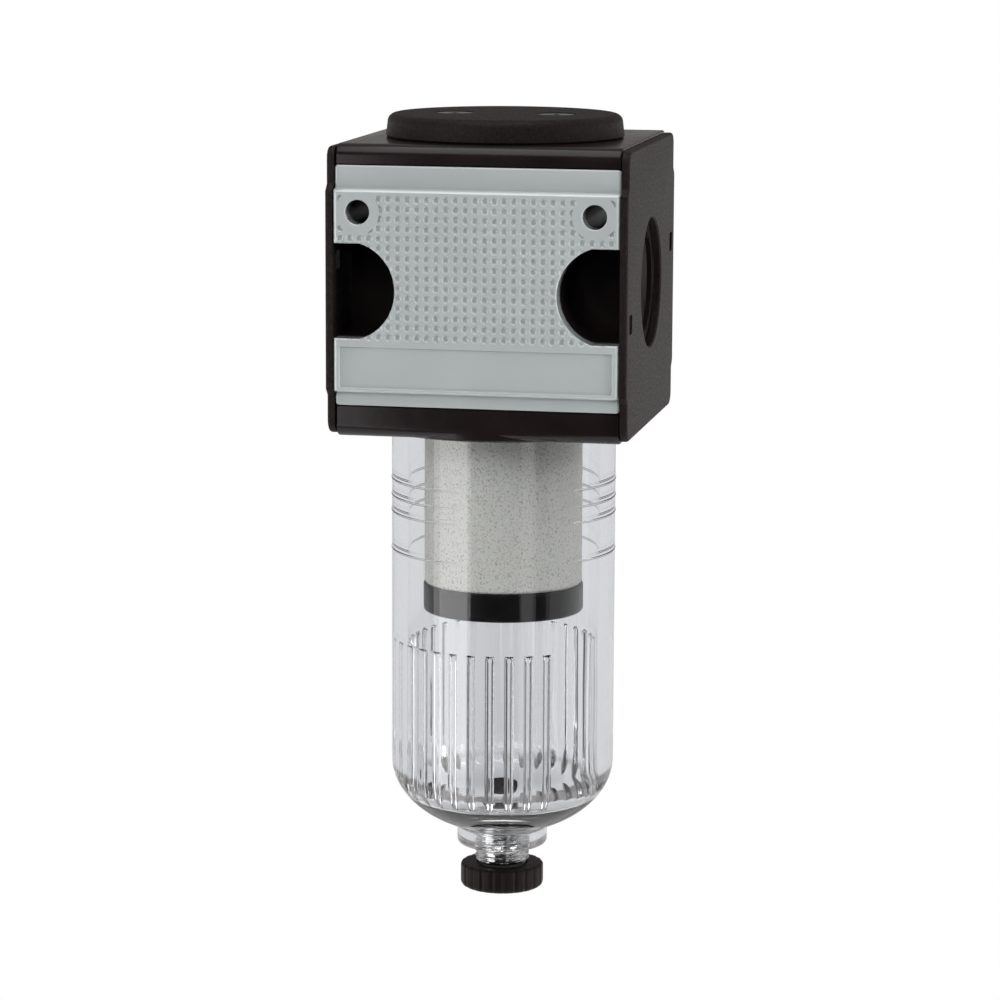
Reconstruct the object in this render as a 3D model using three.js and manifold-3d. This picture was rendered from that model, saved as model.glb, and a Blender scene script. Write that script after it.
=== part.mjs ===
// Modular compressed air filter: a 52 mm wide ported block with covers, a clear screw-on
// bowl, a sintered element on a central bolt and a manual screw drain.
//
// Millimetres, +Z up, front towards -Y. The assembly is drawn around the bowl's vertical
// axis, with the ports on its X axis, and is then moved so that the origin lies in the
// middle of the rear mounting face, level with the ports.

import * as THREE from 'three';
import { mergeVertices } from 'three/addons/utils/BufferGeometryUtils.js';
import Module from 'manifold-3d';

const wasm = await Module();
wasm.setup();

// ---------------------------------------------------------------- driving dimensions

const OVERALL_WIDTH = 52;
const REAR_FACE = 26.15;
const ROUND = 48;
const SMALL_ROUND = 24;
const GAP = 0.1;

const PLATE = {
  thickness: 1.3, bandEdge: 24.85, zoneEdge: 26.1, top: 24.35, bottom: -24.8,
  topRadius: 2, bottomRadius: 2.5, edgeRound: 0.5, portRadius: 11.2,
  windowWidth: 2.9, windowHeight: 3.3, windowY: 22.1, windowZ: 4.9,
};
const INNER_FACE = OVERALL_WIDTH / 2 - PLATE.thickness;

const BLOCK = {
  halfWidth: INNER_FACE - 0.15, halfDepth: 24.5, top: 24.8, bottom: -25.3, edgeRadius: 2.4,
};

const COVER = {
  halfWidth: INNER_FACE - GAP, top: 21.27, bottom: -19.77, back: 22.85, band: 24.7,
  zoneTop: 16.95, zoneBottom: -17, slope: 0.75,
};
const NAME_STRIP = { halfWidth: 23.6, top: -9.5, bottom: -16.65, depth: 0.3 };

const POCKET = { centreX: 22.4, radius: 8.35, halfHeight: 8, floor: 13 };
const THROUGH_HOLE = { x: 20.36, z: 13.43, radius: 2.1 };

const PORT = { radius: 8.3, mouthRadius: 9.1, mouthDepth: 0.8, blindEnd: 12.5 };
const INLET_DROP = { from: 17, to: 12.5, halfWidth: 5, top: -5 };
const OUTLET_RADIUS = 9;

const SOCKET = { radius: 20, ceiling: -13.5, bossRadius: 24.45, bossBottom: -25.5 };
const SWIRL_CHAMBER = { radius: 17, ceiling: -11 };
const CAP_BORE = { radius: 15.6, floor: 16.5 };

const CAP = {
  radius: 20.77, topRadius: 20.5, top: 28.85, edgeRadius: 1.45, plugRadius: 15.3, plugBottom: 17,
  coreRadius: 11.5, coreTop: 24, grooveRadius: 13.1, grooveBottom: 19.2, grooveTop: 21.8,
  discRadius: 3.55, discDepth: 0.4, discX: 9,
};

const DEFLECTOR = {
  top: -11.8, bottom: -14.3, outer: 13.4, inner: 7.5, hubRadius: 3.6, hubBottom: -15,
  spokes: 3, spokeWidth: 2, vanes: 12, vaneTip: 16.3, vaneThickness: 0.9, vaneHeight: 2.4,
  vaneTilt: THREE.MathUtils.degToRad(40), vaneZ: -13.05,
};
const BOLT = { radius: 2.5, bore: 2.6, headRadius: 3.9, headHeight: 2, bottom: -58.5 };
const ELEMENT = { outer: 13.95, inner: 9.5, top: -15.2, bottom: -53.6 };
const FLAT_SEAL = { outer: 13.3, inner: 9.7, thickness: 0.75 };
const BAFFLE = {
  radius: 14.17, top: -53.7, bottom: -58.7, wall: 1.5, floor: 2.2, edgeRadius: 1,
  grooveInner: 9.6, grooveOuter: 13.4, grooveDepth: 0.85,
};
const NUT = { acrossFlats: 8, height: 2.4 };

const BOWL = {
  outer: 19.77, inner: 16.95, rim: -13.7, straightEnd: -85.9, domeHeight: 13.4,
  innerStraightEnd: -89.5, innerDomeHeight: 6.8, bossRadius: 8.04, bossBottom: -101.77,
  bossEdge: 0.95, bore: 4.95, grooveRadius: 18, grooveTop: -15.6, grooveBottom: -18.4,
};
const RIBS = {
  positions: 33, first: 3.65, windowFrom: 40, windowTo: 95,
  width: 1.35, tip: 15.95, root: 17.4, top: -64.1, bottom: -92.2,
};

const DRAIN = {
  radius: 4.84, top: -93.4, bottom: -105.1, bore: 3.35, threadBore: 2.95, threadBottom: -98,
  ringGrooveRadius: 6.4, ringGrooveTop: -97.3, ringGrooveBottom: -98.9,
};
const STEM = { radius: 2.85, top: -90.2, spigot: 2, spigotTop: -105.75, flat: 2.1, chamfer: 0.5 };
const WASHER = { outer: 4.3, inner: 3, top: -105.15, bottom: -105.8 };
const KNOB = {
  radius: 7.39, top: -105.4, bottom: -109.6, edge: 0.8, recessRadius: 4.5, recessFloor: -105.85,
  flutes: 22, fluteRadius: 0.7, fluteDepth: 0.25, bore: 2.1,
};

// O-rings, drawn as they lie in their grooves.
const CAP_RING = { inner: 13.25, outer: 15.5, z: 20.5 };
const BOWL_RING = { inner: 18.2, outer: 19.85, z: -17 };
const DRAIN_RING = { inner: 5, outer: 6.3, z: -98.1 };

// ---------------------------------------------------------------- geometry helpers

function toSolid(geometry) {
  geometry.deleteAttribute('normal');
  geometry.deleteAttribute('uv');
  const welded = mergeVertices(geometry, 1e-4);
  const corners = Array.from(welded.index.array);
  const triangles = [];
  for (let i = 0; i < corners.length; i += 3) {
    const triangle = corners.slice(i, i + 3);
    if (new Set(triangle).size === 3) {
      triangles.push(...triangle);
    }
  }
  return new wasm.Manifold(new wasm.Mesh({
    numProp: 3,
    vertProperties: new Float32Array(welded.attributes.position.array),
    triVerts: new Uint32Array(triangles),
  }));
}

function toGeometry(solid) {
  const { vertProperties, triVerts } = solid.getMesh();
  const geometry = new THREE.BufferGeometry();
  geometry.setAttribute('position', new THREE.BufferAttribute(vertProperties, 3));
  geometry.setIndex(new THREE.BufferAttribute(triVerts, 1));
  geometry.computeVertexNormals();
  return geometry;
}

function join(solids) {
  return solids.reduce((whole, next) => whole.add(next));
}

function cut(solid, tools) {
  return tools.reduce((rest, tool) => rest.subtract(tool), solid);
}

function box(x0, x1, y0, y1, z0, z1) {
  const geometry = new THREE.BoxGeometry(x1 - x0, y1 - y0, z1 - z0);
  geometry.translate((x0 + x1) / 2, (y0 + y1) / 2, (z0 + z1) / 2);
  return toSolid(geometry);
}

// A cylinder along X, Y or Z from one coordinate to another, through the point `at`
// of the two other coordinates.
function rod(axis, radius, from, to, at = [0, 0], segments = SMALL_ROUND) {
  const geometry = new THREE.CylinderGeometry(radius, radius, to - from, segments);
  const middle = (from + to) / 2;
  if (axis === 'x') {
    geometry.rotateZ(-Math.PI / 2);
    geometry.translate(middle, at[0], at[1]);
  } else if (axis === 'y') {
    geometry.translate(at[0], middle, at[1]);
  } else {
    geometry.rotateX(Math.PI / 2);
    geometry.translate(at[0], at[1], middle);
  }
  return toSolid(geometry);
}

// A solid of revolution about Z. The outline is a list of [radius, z] that runs from axis
// to axis, or around a ring's section.
function turned(outline, segments = ROUND) {
  const touchesAxis = outline[0][0] === 0;
  const points = outline.map(([radius, z]) => new THREE.Vector2(radius, z));
  if (THREE.ShapeUtils.area(points) < 0) {
    points.reverse();
  }
  if (!touchesAxis) {
    points.push(points[0].clone());
  }
  const geometry = new THREE.LatheGeometry(points, segments);
  geometry.rotateX(Math.PI / 2);
  return toSolid(geometry);
}

function ring(inner, outer, z0, z1, segments = ROUND) {
  return turned([[inner, z0], [outer, z0], [outer, z1], [inner, z1]], segments);
}

// A ring of round section.
function sealRing(inner, outer, z, sides = 6) {
  const sectionRadius = (outer - inner) / 2;
  const outline = [];
  for (let i = 0; i < sides; i += 1) {
    const angle = (2 * Math.PI * i) / sides;
    const radius = (inner + outer) / 2 + sectionRadius * Math.cos(angle);
    outline.push([radius, z + sectionRadius * Math.sin(angle)]);
  }
  return turned(outline, SMALL_ROUND);
}

// Points on a quarter of an ellipse or circle, between two angles in degrees.
function arc(centreR, centreZ, radiusR, radiusZ, from, to, steps) {
  const points = [];
  for (let i = 0; i <= steps; i += 1) {
    const angle = THREE.MathUtils.degToRad(from + ((to - from) * i) / steps);
    points.push([centreR + radiusR * Math.cos(angle), centreZ + radiusZ * Math.sin(angle)]);
  }
  return points;
}

// Extrusions whose outline lies in the YZ plane, or in the XZ plane.
function alongX(shape, from, to, bevel = 0) {
  const geometry = extruded(shape, to - from, bevel);
  geometry.applyMatrix4(new THREE.Matrix4().makeBasis(
    new THREE.Vector3(0, 1, 0), new THREE.Vector3(0, 0, 1), new THREE.Vector3(1, 0, 0),
  ));
  geometry.translate(from, 0, 0);
  return toSolid(geometry);
}

function alongY(shape, from, to) {
  const geometry = extruded(shape, to - from, 0);
  geometry.rotateX(Math.PI / 2);
  geometry.translate(0, to, 0);
  return toSolid(geometry);
}

function extruded(shape, length, bevel) {
  const geometry = new THREE.ExtrudeGeometry(shape, {
    depth: length - 2 * bevel,
    curveSegments: 5,
    bevelEnabled: bevel > 0,
    bevelThickness: bevel,
    bevelSize: bevel,
    bevelOffset: -bevel,
    bevelSegments: 2,
  });
  geometry.translate(0, 0, bevel);
  return geometry;
}

function roundedRectangle(x0, x1, y0, y1, radius) {
  const shape = new THREE.Shape();
  shape.moveTo(x0 + radius, y0);
  shape.lineTo(x1 - radius, y0);
  shape.absarc(x1 - radius, y0 + radius, radius, -Math.PI / 2, 0);
  shape.lineTo(x1, y1 - radius);
  shape.absarc(x1 - radius, y1 - radius, radius, 0, Math.PI / 2);
  shape.lineTo(x0 + radius, y1);
  shape.absarc(x0 + radius, y1 - radius, radius, Math.PI / 2, Math.PI);
  shape.lineTo(x0, y0 + radius);
  shape.absarc(x0 + radius, y0 + radius, radius, Math.PI, Math.PI * 1.5);
  return shape;
}

function aroundZ(solid, degrees) {
  return solid.rotate([0, 0, degrees]);
}

// ---------------------------------------------------------------- block, plates, covers

// The D-shaped space beside each port that takes a coupling clip: one side, one face.
function couplingPocket(side, from, to) {
  const round = rod('y', POCKET.radius, from, to, [side * POCKET.centreX, 0], ROUND);
  const wide = OVERALL_WIDTH;
  return round.intersect(box(-wide, wide, from - 1, to + 1, -POCKET.halfHeight, POCKET.halfHeight));
}

function couplingPockets(from, to) {
  return [
    couplingPocket(-1, from, to), couplingPocket(1, from, to),
    couplingPocket(-1, -to, -from), couplingPocket(1, -to, -from),
  ];
}

function throughHoles() {
  return [-1, 1].map((side) => rod(
    'y', THROUGH_HOLE.radius, -REAR_FACE - 1, REAR_FACE + 1,
    [side * THROUGH_HOLE.x, THROUGH_HOLE.z],
  ));
}

function portBores() {
  const outside = OVERALL_WIDTH / 2;
  const face = BLOCK.halfWidth;
  const mouth = (side) => {
    const ends = [side * (face - PORT.mouthDepth), side * outside].sort((a, b) => a - b);
    return rod('x', PORT.mouthRadius, ends[0], ends[1], [0, 0], ROUND);
  };
  return [
    rod('x', PORT.radius, -outside, -PORT.blindEnd, [0, 0], ROUND),
    rod('x', PORT.radius, 0, outside, [0, 0], ROUND),
    mouth(-1),
    mouth(1),
  ];
}

function innerPassages() {
  return [
    rod('z', SOCKET.radius, SOCKET.bossBottom - 1, SOCKET.ceiling, [0, 0], ROUND),
    rod('z', SWIRL_CHAMBER.radius, SOCKET.ceiling - 1, SWIRL_CHAMBER.ceiling, [0, 0], ROUND),
    rod('z', OUTLET_RADIUS, SWIRL_CHAMBER.ceiling - 1, CAP_BORE.floor + 1, [0, 0], ROUND),
    rod('z', CAP_BORE.radius, CAP_BORE.floor, BLOCK.top + 1, [0, 0], ROUND),
    box(-INLET_DROP.from, -INLET_DROP.to, -INLET_DROP.halfWidth, INLET_DROP.halfWidth,
      SWIRL_CHAMBER.ceiling - 1, INLET_DROP.top),
  ];
}

function housing() {
  const { halfWidth, halfDepth, top, bottom, edgeRadius } = BLOCK;
  const profile = roundedRectangle(-halfDepth, halfDepth, bottom, top, edgeRadius);
  const block = alongX(profile, -halfWidth, halfWidth);
  const bowlBoss = rod('z', SOCKET.bossRadius, SOCKET.bossBottom, COVER.bottom, [0, 0], ROUND);
  const seatTop = COVER.top + 2 * GAP;
  const seatBottom = COVER.bottom - 2 * GAP;
  const seats = [-1, 1].map((side) => {
    const faces = [side * (COVER.back - GAP), side * REAR_FACE].sort((a, b) => a - b);
    return box(-OVERALL_WIDTH, OVERALL_WIDTH, faces[0], faces[1], seatBottom, seatTop);
  });
  return cut(join([block, bowlBoss]), [
    ...seats,
    ...couplingPockets(POCKET.floor, REAR_FACE),
    ...throughHoles(),
    ...portBores(),
    ...innerPassages(),
  ]);
}

// The end plate's outline steps out with the covers' raised middle zone.
function endPlateOutline() {
  const { bandEdge, zoneEdge, top, bottom, topRadius, bottomRadius } = PLATE;
  const slope = zoneEdge - bandEdge;
  const shape = new THREE.Shape();
  shape.moveTo(-bandEdge + bottomRadius, bottom);
  shape.lineTo(bandEdge - bottomRadius, bottom);
  shape.absarc(bandEdge - bottomRadius, bottom + bottomRadius, bottomRadius, -Math.PI / 2, 0);
  shape.lineTo(bandEdge, COVER.zoneBottom - slope);
  shape.lineTo(zoneEdge, COVER.zoneBottom);
  shape.lineTo(zoneEdge, COVER.zoneTop);
  shape.lineTo(bandEdge, COVER.zoneTop + slope);
  shape.lineTo(bandEdge, top - topRadius);
  shape.absarc(bandEdge - topRadius, top - topRadius, topRadius, 0, Math.PI / 2);
  shape.lineTo(-bandEdge + topRadius, top);
  shape.absarc(-bandEdge + topRadius, top - topRadius, topRadius, Math.PI / 2, Math.PI);
  shape.lineTo(-bandEdge, COVER.zoneTop + slope);
  shape.lineTo(-zoneEdge, COVER.zoneTop);
  shape.lineTo(-zoneEdge, COVER.zoneBottom);
  shape.lineTo(-bandEdge, COVER.zoneBottom - slope);
  shape.lineTo(-bandEdge, bottom + bottomRadius);
  shape.absarc(-bandEdge + bottomRadius, bottom + bottomRadius, bottomRadius, Math.PI, 1.5 * Math.PI);
  return shape;
}

// The plate is rounded along its outer edge only: the inner half of a plate that is
// rounded on both sides is cut away.
function endPlate(side) {
  const outside = OVERALL_WIDTH / 2;
  const inside = INNER_FACE;
  const tray = alongX(endPlateOutline(), inside - PLATE.thickness, outside, PLATE.edgeRound);
  const behind = box(0, inside, -OVERALL_WIDTH, OVERALL_WIDTH, -OVERALL_WIDTH, OVERALL_WIDTH);
  const port = rod('x', PLATE.portRadius, inside - 1, outside + 1, [0, 0], ROUND);
  const windows = [-1, 1].map((end) => box(
    inside - 1, outside + 1,
    end * PLATE.windowY - PLATE.windowWidth / 2, end * PLATE.windowY + PLATE.windowWidth / 2,
    end * PLATE.windowZ - PLATE.windowHeight / 2, end * PLATE.windowZ + PLATE.windowHeight / 2,
  ));
  const plate = cut(tray, [behind, port, ...windows]);
  return side > 0 ? plate : aroundZ(plate, 180);
}

// A cover for the front: a plate with a raised zone, whose top and bottom edges slope down
// to the plate. The rear one is the same turned round, without the name strip.
function coverPlate(isFront) {
  const { halfWidth, top, bottom, back, band, zoneTop, zoneBottom, slope } = COVER;
  const base = box(-halfWidth, halfWidth, -band, -back, bottom, top);
  const root = (band + back) / 2;
  const zone = new THREE.Shape([
    new THREE.Vector2(-REAR_FACE, zoneBottom),
    new THREE.Vector2(-band, zoneBottom - slope),
    new THREE.Vector2(-root, zoneBottom - slope),
    new THREE.Vector2(-root, zoneTop + slope),
    new THREE.Vector2(-band, zoneTop + slope),
    new THREE.Vector2(-REAR_FACE, zoneTop),
  ]);
  const tools = [...couplingPockets(POCKET.floor, REAR_FACE + 1), ...throughHoles()];
  if (isFront) {
    tools.push(box(-NAME_STRIP.halfWidth, NAME_STRIP.halfWidth, -REAR_FACE - 1,
      -REAR_FACE + NAME_STRIP.depth, NAME_STRIP.bottom, NAME_STRIP.top));
  }
  const plate = cut(join([base, alongX(zone, -halfWidth, halfWidth)]), tools);
  return isFront ? plate : aroundZ(plate, 180);
}

// ---------------------------------------------------------------- cap and seals

function topCap() {
  const { radius, topRadius, top, edgeRadius, plugRadius, plugBottom } = CAP;
  const flangeBottom = BLOCK.top + GAP;
  const body = turned([
    [0, CAP.coreTop],
    [CAP.coreRadius, CAP.coreTop],
    [CAP.coreRadius, plugBottom],
    [plugRadius, plugBottom],
    [plugRadius, CAP.grooveBottom],
    [CAP.grooveRadius, CAP.grooveBottom],
    [CAP.grooveRadius, CAP.grooveTop],
    [plugRadius, CAP.grooveTop],
    [plugRadius, flangeBottom],
    [radius, flangeBottom],
    ...arc(topRadius - edgeRadius, top - edgeRadius, edgeRadius, edgeRadius, 0, 90, 3),
    [0, top],
  ]);
  const discs = [-1, 1].map((side) => rod(
    'z', CAP.discRadius, top - CAP.discDepth, top + 1, [side * CAP.discX, 0],
  ));
  return cut(body, discs);
}

// ---------------------------------------------------------------- element stack

function swirlDeflector() {
  const { top, bottom, outer, inner, hubRadius, hubBottom } = DEFLECTOR;
  const hub = rod('z', hubRadius, hubBottom, top);
  const spoke = box(0, inner + 1, -DEFLECTOR.spokeWidth / 2, DEFLECTOR.spokeWidth / 2, bottom, top);
  const spokes = Array.from({ length: DEFLECTOR.spokes }, (_, i) => (
    aroundZ(spoke, (360 * i) / DEFLECTOR.spokes)
  ));
  const halfHeight = DEFLECTOR.vaneHeight / 2;
  const halfThickness = DEFLECTOR.vaneThickness / 2;
  const vane = box(outer - 0.8, DEFLECTOR.vaneTip, -halfThickness, halfThickness, -halfHeight, halfHeight)
    .rotate([THREE.MathUtils.radToDeg(DEFLECTOR.vaneTilt), 0, 0])
    .translate([0, 0, DEFLECTOR.vaneZ]);
  const vanes = Array.from({ length: DEFLECTOR.vanes }, (_, i) => (
    aroundZ(vane, (360 * (i + 0.5)) / DEFLECTOR.vanes)
  ));
  const wheel = join([ring(inner, outer, bottom, top), hub, ...spokes, ...vanes]);
  return cut(wheel, [rod('z', BOLT.bore, hubBottom - 1, top + 1)]);
}

function elementBolt() {
  const headBottom = DEFLECTOR.top + GAP;
  const head = rod('z', BOLT.headRadius, headBottom, headBottom + BOLT.headHeight, [0, 0], 6);
  return join([head, rod('z', BOLT.radius, BOLT.bottom, headBottom + 1)]);
}

function filterElement() {
  return ring(ELEMENT.inner, ELEMENT.outer, ELEMENT.bottom, ELEMENT.top);
}

function flatSeal(top) {
  return ring(FLAT_SEAL.inner, FLAT_SEAL.outer, top - FLAT_SEAL.thickness, top, SMALL_ROUND);
}

function baffle() {
  const { radius, top, bottom, wall, floor, edgeRadius } = BAFFLE;
  const grooveFloor = top - BAFFLE.grooveDepth;
  return turned([
    [BOLT.bore, top],
    [BOLT.bore, top - floor],
    [radius - wall, top - floor],
    [radius - wall, bottom],
    ...arc(radius - edgeRadius, bottom + edgeRadius, edgeRadius, edgeRadius, -90, 0, 2),
    [radius, top],
    [BAFFLE.grooveOuter, top],
    [BAFFLE.grooveOuter, grooveFloor],
    [BAFFLE.grooveInner, grooveFloor],
    [BAFFLE.grooveInner, top],
  ], 36);
}

// The nut sits up inside the baffle's cup.
function baffleNut() {
  const top = BAFFLE.top - BAFFLE.floor - GAP;
  const corner = NUT.acrossFlats / Math.sqrt(3);
  const hexagon = rod('z', corner, top - NUT.height, top, [0, 0], 6);
  return cut(hexagon, [rod('z', BOLT.bore, top - NUT.height - 1, top + 1)]);
}

// ---------------------------------------------------------------- bowl

function bowlShell() {
  const { outer, inner, rim, straightEnd, domeHeight, bossRadius, bossBottom, bossEdge } = BOWL;
  const bossAngle = -THREE.MathUtils.radToDeg(Math.acos(bossRadius / outer));
  const floorAngle = -THREE.MathUtils.radToDeg(Math.acos(BOWL.bore / inner));
  return turned([
    [inner, rim],
    ...arc(0, BOWL.innerStraightEnd, inner, BOWL.innerDomeHeight, 0, floorAngle, 6),
    [BOWL.bore, DRAIN.ringGrooveTop],
    [DRAIN.ringGrooveRadius, DRAIN.ringGrooveTop],
    [DRAIN.ringGrooveRadius, DRAIN.ringGrooveBottom],
    [BOWL.bore, DRAIN.ringGrooveBottom],
    [BOWL.bore, bossBottom],
    ...arc(bossRadius - bossEdge, bossBottom + bossEdge, bossEdge, bossEdge, -90, 0, 2),
    ...arc(0, straightEnd, outer, domeHeight, bossAngle, 0, 7),
    [outer, BOWL.grooveBottom],
    [BOWL.grooveRadius, BOWL.grooveBottom],
    [BOWL.grooveRadius, BOWL.grooveTop],
    [outer, BOWL.grooveTop],
    [outer, rim],
  ]);
}

// Ribs stand all round the lower wall except across the sight window. Angles are counted
// in degrees from the front towards the right.
function bowlRibs() {
  const halfWidth = RIBS.width / 2;
  const rib = box(-halfWidth, halfWidth, -RIBS.root, -RIBS.tip, RIBS.bottom, RIBS.top);
  const ribs = [];
  for (let i = 0; i < RIBS.positions; i += 1) {
    const angle = RIBS.first + (360 * i) / RIBS.positions;
    if (angle < RIBS.windowFrom || angle > RIBS.windowTo) {
      ribs.push(aroundZ(rib, angle));
    }
  }
  return ribs;
}

function bowl() {
  return join([bowlShell(), ...bowlRibs()]);
}

// ---------------------------------------------------------------- drain

function drainBody() {
  const { radius, top, bottom, bore, threadBore, threadBottom } = DRAIN;
  return turned([
    [threadBore, top],
    [threadBore, threadBottom],
    [bore, threadBottom - (bore - threadBore)],
    [bore, bottom],
    [radius, bottom],
    [radius, top],
  ], SMALL_ROUND);
}

function drainStem() {
  const { radius, top, spigot, spigotTop, flat, chamfer } = STEM;
  const spindle = turned([
    [0, KNOB.bottom + 1],
    [spigot, KNOB.bottom + 1],
    [spigot, spigotTop],
    [radius, spigotTop],
    [radius, top - chamfer],
    [radius - chamfer, top],
    [0, top],
  ], SMALL_ROUND);
  return cut(spindle, [box(-radius, radius, flat, radius + 1, DRAIN.bottom + 1, top + 1)]);
}

function drainWasher() {
  return ring(WASHER.inner, WASHER.outer, WASHER.bottom, WASHER.top, SMALL_ROUND);
}

function drainKnob() {
  const { radius, top, bottom, edge, recessRadius, recessFloor, bore } = KNOB;
  const body = turned([
    [bore, recessFloor],
    [recessRadius, recessFloor],
    [recessRadius, top],
    [radius, top],
    [radius, bottom + edge],
    [radius - edge, bottom],
    [bore, bottom],
  ], 2 * KNOB.flutes);
  const flute = rod('z', KNOB.fluteRadius, bottom - 1, top + 1,
    [0, -radius - KNOB.fluteRadius + KNOB.fluteDepth], 6);
  const flutes = Array.from({ length: KNOB.flutes }, (_, i) => (
    aroundZ(flute, (360 * i) / KNOB.flutes)
  ));
  return cut(body, flutes);
}

// ---------------------------------------------------------------- assembly

function finish(color, roughness, metalness = 0) {
  return new THREE.MeshStandardMaterial({ color, roughness, metalness });
}

const FINISHES = {
  blackCasting: () => finish(0x1c1a19, 0.45, 0.2),
  blackTextured: () => finish(0x2b2827, 0.7),
  greyPlastic: () => finish(0xa3a9a9, 0.45),
  blackPlastic: () => finish(0x191718, 0.4),
  clearPlastic: () => finish(0xdde3e6, 0.08),
  sintered: () => finish(0xc9c9bf, 0.95),
  rubber: () => finish(0x151515, 0.8),
  silicone: () => finish(0xcfd2d2, 0.6),
  nickel: () => finish(0xb4b4b2, 0.2, 1),
  zincSteel: () => finish(0x9b9c9a, 0.35, 1),
};

const assembly = new THREE.Group();
assembly.position.set(0, -REAR_FACE, 0);

function place(name, solid, material) {
  const mesh = new THREE.Mesh(toGeometry(solid), material);
  mesh.name = name;
  assembly.add(mesh);
}

place('housing', housing(), FINISHES.blackCasting());
place('end_plate_left', endPlate(-1), FINISHES.blackTextured());
place('end_plate_right', endPlate(1), FINISHES.blackTextured());
place('front_cover', coverPlate(true), FINISHES.greyPlastic());
place('rear_cover', coverPlate(false), FINISHES.greyPlastic());
place('top_cap', topCap(), FINISHES.blackTextured());
place('cap_o_ring', sealRing(CAP_RING.inner, CAP_RING.outer, CAP_RING.z), FINISHES.rubber());
place('swirl_deflector', swirlDeflector(), FINISHES.blackPlastic());
place('deflector_gasket', flatSeal(SWIRL_CHAMBER.ceiling - 0.03), FINISHES.rubber());
place('element_bolt', elementBolt(), FINISHES.zincSteel());
place('element_top_seal', flatSeal(DEFLECTOR.bottom - 0.05), FINISHES.rubber());
place('filter_element', filterElement(), FINISHES.sintered());
place('element_bottom_seal', flatSeal(ELEMENT.bottom - 0.05), FINISHES.rubber());
place('baffle', baffle(), FINISHES.blackPlastic());
place('baffle_nut', baffleNut(), FINISHES.zincSteel());
place('bowl', bowl(), FINISHES.clearPlastic());
place('bowl_o_ring', sealRing(BOWL_RING.inner, BOWL_RING.outer, BOWL_RING.z), FINISHES.rubber());
place('drain_body', drainBody(), FINISHES.nickel());
place('drain_o_ring', sealRing(DRAIN_RING.inner, DRAIN_RING.outer, DRAIN_RING.z), FINISHES.silicone());
place('drain_stem', drainStem(), FINISHES.blackPlastic());
place('drain_washer', drainWasher(), FINISHES.rubber());
place('drain_knob', drainKnob(), FINISHES.blackPlastic());

export default assembly;
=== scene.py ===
"""Looks for the modular compressed air filter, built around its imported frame.

Shapes are worked out in millimetres about the bowl's axis: z is 0 at the port axis and the
front faces -Y. Every mesh is then written in metres in the row frame.
"""
import math

import bmesh
import bpy
import numpy as np
from mathutils import Matrix, Vector


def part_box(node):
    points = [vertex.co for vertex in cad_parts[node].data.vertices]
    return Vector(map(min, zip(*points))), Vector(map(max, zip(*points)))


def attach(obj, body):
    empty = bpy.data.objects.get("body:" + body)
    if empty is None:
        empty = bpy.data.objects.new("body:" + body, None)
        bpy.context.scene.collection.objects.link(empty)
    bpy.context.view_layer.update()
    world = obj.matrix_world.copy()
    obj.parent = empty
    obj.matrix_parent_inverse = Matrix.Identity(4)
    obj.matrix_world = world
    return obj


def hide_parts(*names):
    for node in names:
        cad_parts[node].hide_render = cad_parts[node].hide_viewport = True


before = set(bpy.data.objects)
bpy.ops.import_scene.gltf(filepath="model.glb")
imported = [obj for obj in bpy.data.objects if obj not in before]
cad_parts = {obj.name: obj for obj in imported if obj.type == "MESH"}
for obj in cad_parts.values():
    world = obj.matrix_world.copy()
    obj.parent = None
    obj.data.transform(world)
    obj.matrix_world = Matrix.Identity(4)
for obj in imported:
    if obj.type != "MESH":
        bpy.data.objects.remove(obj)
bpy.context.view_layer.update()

MM = 0.001
BOWL_LOW, BOWL_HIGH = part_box("bowl")
AXIS = np.array([0.0, (BOWL_LOW.y + BOWL_HIGH.y) / 2 / MM, 0.0])  # the bowl's axis in the row frame

FRONT = 26.15  # from the axis to the covers' outer faces
HALF_WIDTH = 24.55  # of the casting, inside the end plates
TAU = 2 * math.pi


# ---------------------------------------------------------------- mesh helpers

def new_object(name, points, faces):
    mesh = bpy.data.meshes.new(name)
    placed = (np.asarray(points, float) + AXIS) * MM
    mesh.from_pydata(placed.tolist(), [], [list(map(int, face)) for face in faces])
    made = bpy.data.objects.new(name, mesh)
    bpy.context.scene.collection.objects.link(made)
    shell = bmesh.new()
    shell.from_mesh(mesh)
    bmesh.ops.remove_doubles(shell, verts=shell.verts, dist=1e-7)
    bmesh.ops.recalc_face_normals(shell, faces=shell.faces)
    shell.to_mesh(mesh)
    shell.free()
    return made


def finish_piece(made, body, material, nodes=(), sharp=32):
    made.data.materials.clear()
    made.data.materials.append(material)
    made.data.shade_smooth()
    made.data.set_sharp_from_angle(angle=math.radians(sharp))
    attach(made, body)
    if nodes:
        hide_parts(*nodes)


def boolean(made, operation, *tools):
    """Applies exact booleans one after another and removes the tool objects."""
    for tool in tools:
        step = made.modifiers.new("step", "BOOLEAN")
        step.operation = operation
        step.solver = "EXACT"
        step.object = tool
    graph = bpy.context.evaluated_depsgraph_get()
    result = bpy.data.meshes.new_from_object(made.evaluated_get(graph))
    made.modifiers.clear()
    made.data = result
    for tool in tools:
        bpy.data.objects.remove(tool)
    return made


def about_axis(change):
    """The same change, made about the bowl's axis instead of the row frame's origin."""
    offset = Vector((0, AXIS[1] * MM, 0))
    return Matrix.Translation(offset) @ change @ Matrix.Translation(-offset)


def grid_faces(rows, columns):
    """Quads over a grid of points that closes on itself in both directions."""
    faces = []
    for level in range(rows):
        a, b = level * columns, ((level + 1) % rows) * columns
        for i in range(columns):
            j = (i + 1) % columns
            faces.append([a + i, a + j, b + j, b + i])
    return faces


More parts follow.
